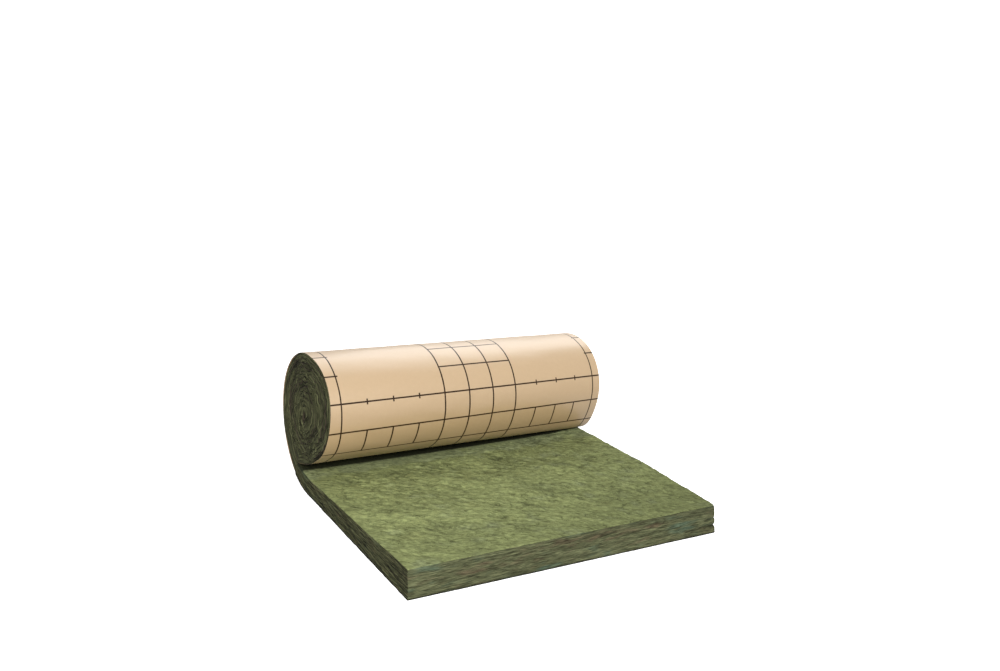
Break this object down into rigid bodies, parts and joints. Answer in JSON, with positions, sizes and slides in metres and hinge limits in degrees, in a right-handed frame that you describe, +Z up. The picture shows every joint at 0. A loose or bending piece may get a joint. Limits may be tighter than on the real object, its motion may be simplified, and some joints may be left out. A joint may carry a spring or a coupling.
{
  "type": "partly unrolled insulation roll",
  "caption": "Mineral wool insulation blanket with kraft paper facing, partly unrolled: a thick flap lies flat, turns up behind the roll and winds into it.",
  "frame": {"origin": "on the floor, under the middle of the whole object's box", "axes": "+X along the roll's axis, +Y towards the back of the roll, so that the flap points to -Y, +Z up"},
  "size_m": [1.2, 1.0858, 0.497],
  "materials": {
    "wool": "matt fibrous mineral wool, olive green",
    "kraft_paper": "smooth tan kraft paper with thin dark printed lines"
  },
  "bodies": {
    "root": {"wool_blanket": "wool", "kraft_facing": "kraft_paper"}
  },
  "joints": []
}
